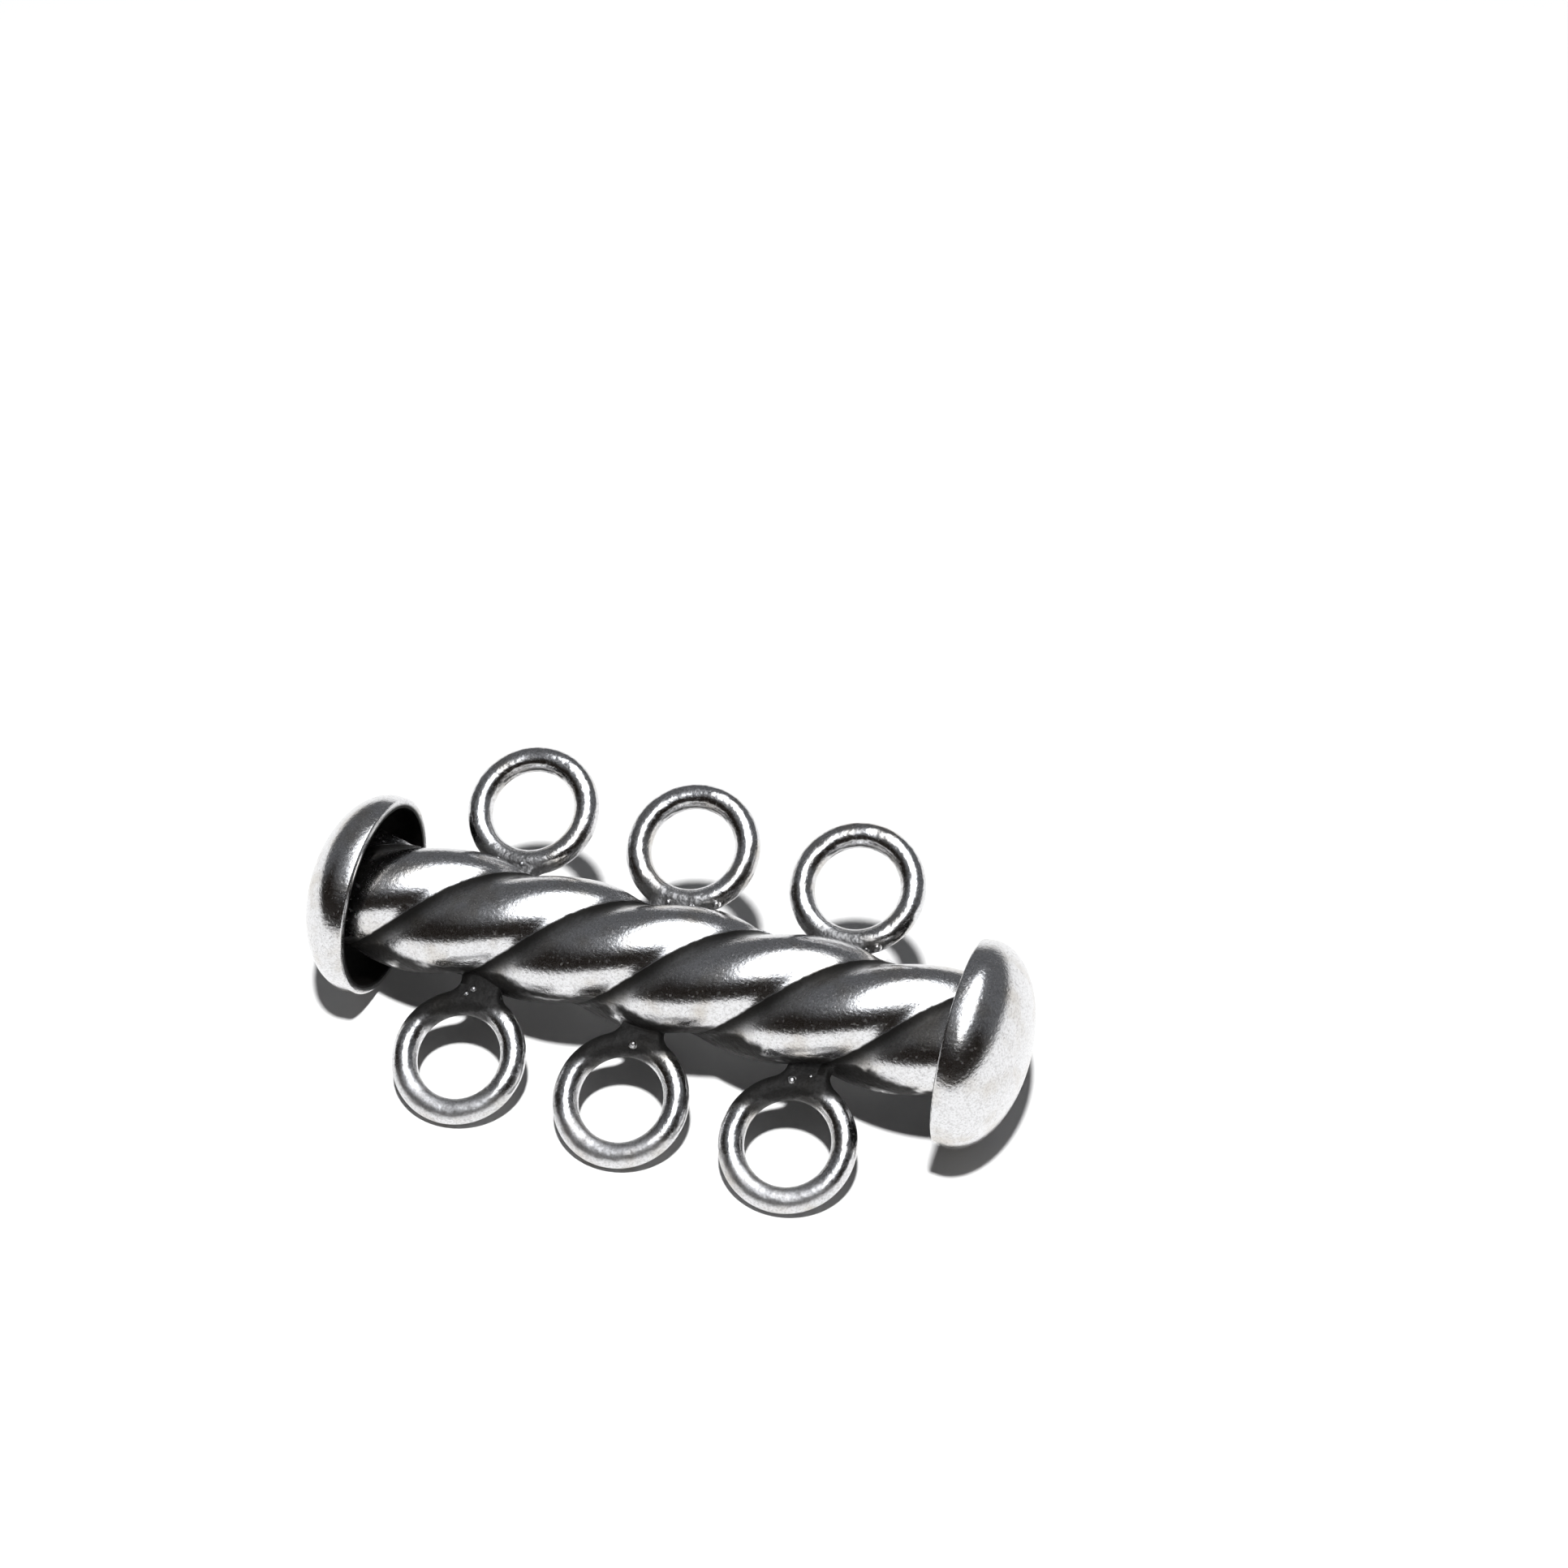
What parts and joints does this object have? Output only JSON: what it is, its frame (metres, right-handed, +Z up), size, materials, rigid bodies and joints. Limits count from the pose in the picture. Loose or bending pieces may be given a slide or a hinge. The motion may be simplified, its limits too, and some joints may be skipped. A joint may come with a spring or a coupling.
{
  "type": "multi-strand clasp",
  "caption": "Slide clasp for a bracelet or necklace of several strands: a capped tube with loops slides in a twisted, slotted sleeve with loops and a domed cap.",
  "frame": {"origin": "on the surface the clasp lies on, under the middle of its outer box", "axes": "+X along the clasp towards the sleeve's cap, +Z up from the surface, -Y towards the sleeve's loops, which touch the surface"},
  "size_m": [0.0242, 0.0116, 0.0067],
  "materials": {
    "sleeve_silver": "antiqued silver: bright polished ridges and loops, dark oxide on the sides between the ridges",
    "slide_silver": "polished silver with dark oxide round the solder",
    "cap_silver": "polished silver outside, dark oxide inside"
  },
  "bodies": {
    "sleeve": {"twisted_sleeve": "sleeve_silver", "sleeve_cap": "cap_silver"},
    "slide": {"slide_tube": "slide_silver", "slide_cap": "cap_silver"}
  },
  "joints": [
    {"name": "slide_out", "type": "slide", "parent": "sleeve", "child": "slide", "axis": [-1, 0, 0], "range_m": [0, 0.0205]}
  ]
}
